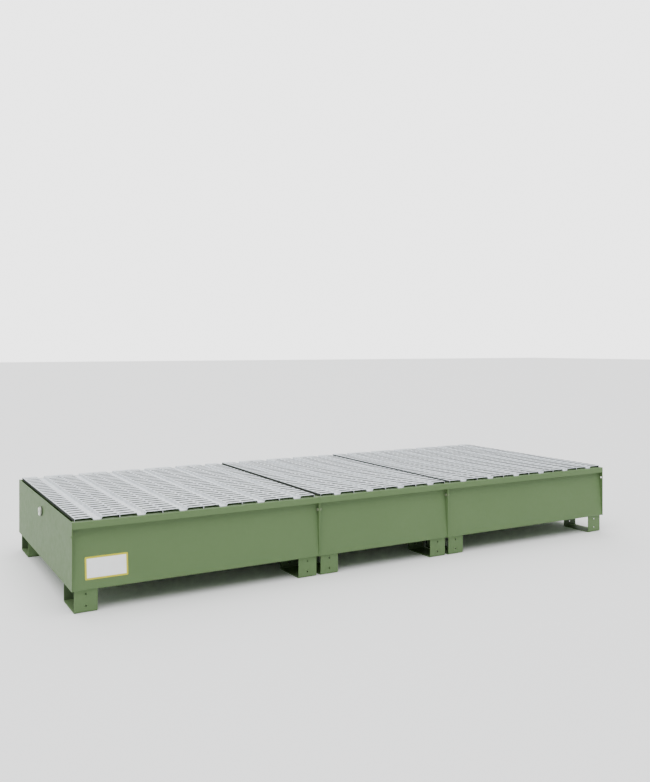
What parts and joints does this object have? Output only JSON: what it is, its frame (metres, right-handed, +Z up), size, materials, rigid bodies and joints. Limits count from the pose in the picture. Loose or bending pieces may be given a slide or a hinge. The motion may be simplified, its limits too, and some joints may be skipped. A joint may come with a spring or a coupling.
{
  "type": "spill containment pallet",
  "caption": "Long low sheet-steel sump in bolted modules with folded rims and end plates, standing on bent feet and decked with lift-out slotted galvanised planks.",
  "frame": {"origin": "centre of the overall box, on the floor under the feet", "axes": "+X along the length, from the end with the overflow port to the other; +Y to the back; +Z up"},
  "size_m": [3.214, 1.3, 0.404],
  "materials": {
    "painted_green": "satin powder coat, reseda green",
    "galvanised_steel": "hot-dip galvanised, matt with faint spangle",
    "zinc_steel": "bright zinc plate",
    "seal_rubber": "matt black",
    "label_grey": "matt, blank"
  },
  "bodies": {
    "root": {"tub_left": "painted_green", "end_plate_left_left": "painted_green", "end_plate_left_right": "painted_green", "foot_left_front_left": "painted_green", "foot_left_back_left": "painted_green", "foot_left_front_right": "painted_green", "foot_left_back_right": "painted_green", "bearer_left_front": "painted_green", "bearer_left_back": "painted_green", "tub_middle": "painted_green", "end_plate_middle_left": "painted_green", "end_plate_middle_right": "painted_green", "foot_middle_front_left": "painted_green", "foot_middle_back_left": "painted_green", "foot_middle_front_right": "painted_green", "foot_middle_back_right": "painted_green", "bearer_middle_front": "painted_green", "bearer_middle_back": "painted_green", "tub_right": "painted_green", "end_plate_right_left": "painted_green", "end_plate_right_right": "painted_green", "foot_right_front_left": "painted_green", "foot_right_back_left": "painted_green", "foot_right_front_right": "painted_green", "foot_right_back_right": "painted_green", "bearer_right_front": "painted_green", "bearer_right_back": "painted_green", "joining_bolts": "zinc_steel", "joining_nuts": "zinc_steel", "joining_washers": "zinc_steel", "port_socket": "painted_green", "blank_label": "label_grey"},
    "plank_01": {"deck_plank_01": "galvanised_steel"},
    "plank_02": {"deck_plank_02": "galvanised_steel"},
    "plank_03": {"deck_plank_03": "galvanised_steel"},
    "plank_04": {"deck_plank_04": "galvanised_steel"},
    "plank_05": {"deck_plank_05": "galvanised_steel"},
    "plank_06": {"deck_plank_06": "galvanised_steel"},
    "plank_07": {"deck_plank_07": "galvanised_steel"},
    "plank_08": {"deck_plank_08": "galvanised_steel"},
    "plank_09": {"deck_plank_09": "galvanised_steel"},
    "plank_10": {"deck_plank_10": "galvanised_steel"},
    "plank_11": {"deck_plank_11": "galvanised_steel"},
    "plank_12": {"deck_plank_12": "galvanised_steel"},
    "plank_13": {"deck_plank_13": "galvanised_steel"},
    "plank_14": {"deck_plank_14": "galvanised_steel"},
    "plank_15": {"deck_plank_15": "galvanised_steel"},
    "plank_16": {"deck_plank_16": "galvanised_steel"},
    "port_plug_body": {"port_seal": "seal_rubber", "port_plug": "zinc_steel"}
  },
  "joints": [
    {"name": "lift_plank_01", "type": "slide", "parent": "root", "child": "plank_01", "axis": [0, 0, 1], "range_m": [0, 0.3]},
    {"name": "lift_plank_02", "type": "slide", "parent": "root", "child": "plank_02", "axis": [0, 0, 1], "range_m": [0, 0.3]},
    {"name": "lift_plank_03", "type": "slide", "parent": "root", "child": "plank_03", "axis": [0, 0, 1], "range_m": [0, 0.3]},
    {"name": "lift_plank_04", "type": "slide", "parent": "root", "child": "plank_04", "axis": [0, 0, 1], "range_m": [0, 0.3]},
    {"name": "lift_plank_05", "type": "slide", "parent": "root", "child": "plank_05", "axis": [0, 0, 1], "range_m": [0, 0.3]},
    {"name": "lift_plank_06", "type": "slide", "parent": "root", "child": "plank_06", "axis": [0, 0, 1], "range_m": [0, 0.3]},
    {"name": "lift_plank_07", "type": "slide", "parent": "root", "child": "plank_07", "axis": [0, 0, 1], "range_m": [0, 0.3]},
    {"name": "lift_plank_08", "type": "slide", "parent": "root", "child": "plank_08", "axis": [0, 0, 1], "range_m": [0, 0.3]},
    {"name": "lift_plank_09", "type": "slide", "parent": "root", "child": "plank_09", "axis": [0, 0, 1], "range_m": [0, 0.3]},
    {"name": "lift_plank_10", "type": "slide", "parent": "root", "child": "plank_10", "axis": [0, 0, 1], "range_m": [0, 0.3]},
    {"name": "lift_plank_11", "type": "slide", "parent": "root", "child": "plank_11", "axis": [0, 0, 1], "range_m": [0, 0.3]},
    {"name": "lift_plank_12", "type": "slide", "parent": "root", "child": "plank_12", "axis": [0, 0, 1], "range_m": [0, 0.3]},
    {"name": "lift_plank_13", "type": "slide", "parent": "root", "child": "plank_13", "axis": [0, 0, 1], "range_m": [0, 0.3]},
    {"name": "lift_plank_14", "type": "slide", "parent": "root", "child": "plank_14", "axis": [0, 0, 1], "range_m": [0, 0.3]},
    {"name": "lift_plank_15", "type": "slide", "parent": "root", "child": "plank_15", "axis": [0, 0, 1], "range_m": [0, 0.3]},
    {"name": "lift_plank_16", "type": "slide", "parent": "root", "child": "plank_16", "axis": [0, 0, 1], "range_m": [0, 0.3]},
    {"name": "unscrew_plug", "type": "slide", "parent": "root", "child": "port_plug_body", "axis": [-1, 0, 0], "range_m": [0, 0.05]}
  ]
}
